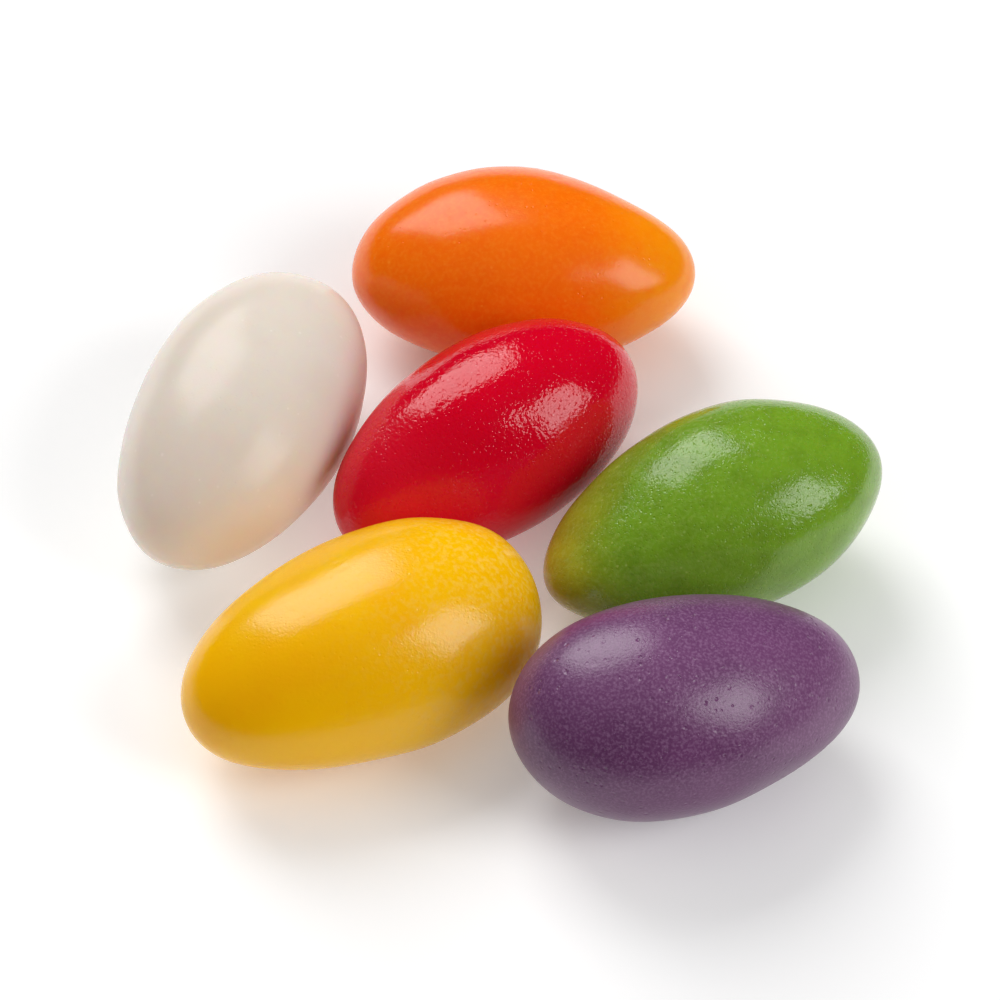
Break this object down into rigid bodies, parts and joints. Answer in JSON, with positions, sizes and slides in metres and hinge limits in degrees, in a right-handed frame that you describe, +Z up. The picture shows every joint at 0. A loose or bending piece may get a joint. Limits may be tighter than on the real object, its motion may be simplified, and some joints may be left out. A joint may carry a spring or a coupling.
{
  "type": "heap of sugar-shelled marshmallow eggs",
  "caption": "Loose heap of egg-shaped marshmallow sweets with smooth hard sugar shells in mixed colours, lying on their sides as they fell.",
  "frame": {"origin": "on the surface that the eggs lie on, under the middle of the heap's box", "axes": "+Z up from that surface, +X to the right and +Y away from the viewer as pictured"},
  "size_m": [0.08, 0.085, 0.0225],
  "materials": {
    "white_shell": "off-white hard sugar shell, satin",
    "orange_shell": "orange hard sugar shell, waxed, with a few pits",
    "red_shell": "red hard sugar shell, waxed to a gloss, with fine pits",
    "green_shell": "leaf green hard sugar shell, waxed, finely dimpled",
    "yellow_shell": "golden yellow hard sugar shell, waxed, with pale mottling",
    "purple_shell": "dull plum hard sugar shell, satin, with pits and pale specks"
  },
  "bodies": {
    "root": {"white_egg": "white_shell", "orange_egg": "orange_shell", "red_egg": "red_shell", "green_egg": "green_shell", "yellow_egg": "yellow_shell", "purple_egg": "purple_shell"}
  },
  "joints": []
}
